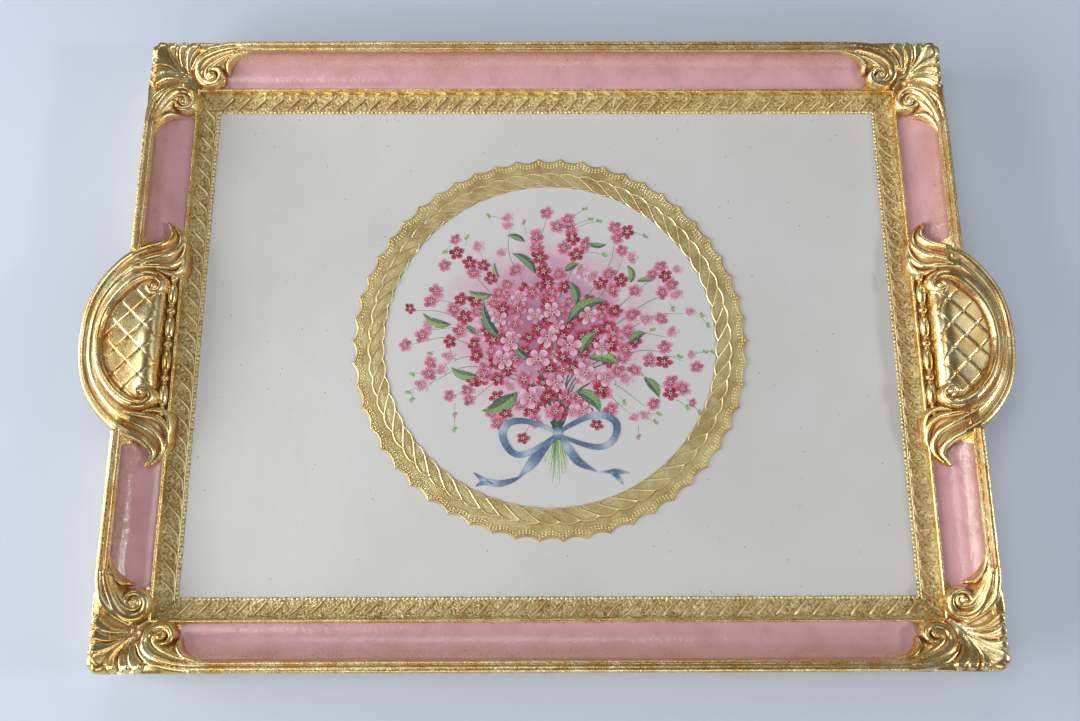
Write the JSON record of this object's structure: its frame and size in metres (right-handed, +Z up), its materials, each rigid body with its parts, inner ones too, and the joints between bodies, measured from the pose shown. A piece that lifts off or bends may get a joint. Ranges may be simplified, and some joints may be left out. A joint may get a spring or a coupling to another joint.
{
  "type": "gilded wooden serving tray",
  "caption": "Rectangular gilded and pink-lacquered wooden tray with raised cove rim, carved acanthus corners and ear handles, and a cream base with a round flower medallion.",
  "frame": {"origin": "on the resting plane under the middle of the tray", "axes": "+X along the tray's length towards its right-hand handle, +Y towards the back, +Z up"},
  "size_m": [0.488, 0.336, 0.0301],
  "materials": {
    "rose_lacquer": "glossy pink lacquer over gesso in the cove, burnished gilding on the outer beads and the inner lip",
    "bright_gilding": "burnished gold leaf over red-brown bole on carved wood, rubbed and darkened in the hollows",
    "matte_gilding": "matte gold leaf on raised gesso ornament",
    "cream_lacquer": "satin ivory lacquer with fine dark specks; bare wood underneath",
    "painted_flowers": "satin varnish over a painted bouquet in pinks, greens and slate blue",
    "plain_steel": "plain steel with a dull surface"
  },
  "bodies": {
    "root": {"rail_front": "rose_lacquer", "rail_right": "rose_lacquer", "rail_back": "rose_lacquer", "rail_left": "rose_lacquer", "v_nail_front_left_outer": "plain_steel", "v_nail_front_left_inner": "plain_steel", "v_nail_front_right_outer": "plain_steel", "v_nail_front_right_inner": "plain_steel", "v_nail_back_right_outer": "plain_steel", "v_nail_back_right_inner": "plain_steel", "v_nail_back_left_outer": "plain_steel", "v_nail_back_left_inner": "plain_steel", "panel_pin_front_1": "plain_steel", "panel_pin_back_1": "plain_steel", "panel_pin_front_2": "plain_steel", "panel_pin_back_2": "plain_steel", "panel_pin_front_3": "plain_steel", "panel_pin_back_3": "plain_steel", "panel_pin_front_4": "plain_steel", "panel_pin_back_4": "plain_steel", "panel_pin_left_1": "plain_steel", "panel_pin_right_1": "plain_steel", "panel_pin_left_2": "plain_steel", "panel_pin_right_2": "plain_steel", "panel_pin_left_3": "plain_steel", "panel_pin_right_3": "plain_steel", "handle_screw_left_front": "plain_steel", "handle_screw_left_back": "plain_steel", "handle_screw_right_front": "plain_steel", "handle_screw_right_back": "plain_steel", "base_panel": "cream_lacquer", "border_front": "matte_gilding", "border_right": "matte_gilding", "border_back": "matte_gilding", "border_left": "matte_gilding", "medallion_ring": "matte_gilding", "bouquet_print": "painted_flowers", "corner_ornament_front_left": "bright_gilding", "corner_ornament_front_right": "bright_gilding", "corner_ornament_back_right": "bright_gilding", "corner_ornament_back_left": "bright_gilding", "handle_right": "bright_gilding", "handle_left": "bright_gilding", "bead_strip_right": "bright_gilding", "bead_strip_left": "bright_gilding"}
  },
  "joints": []
}
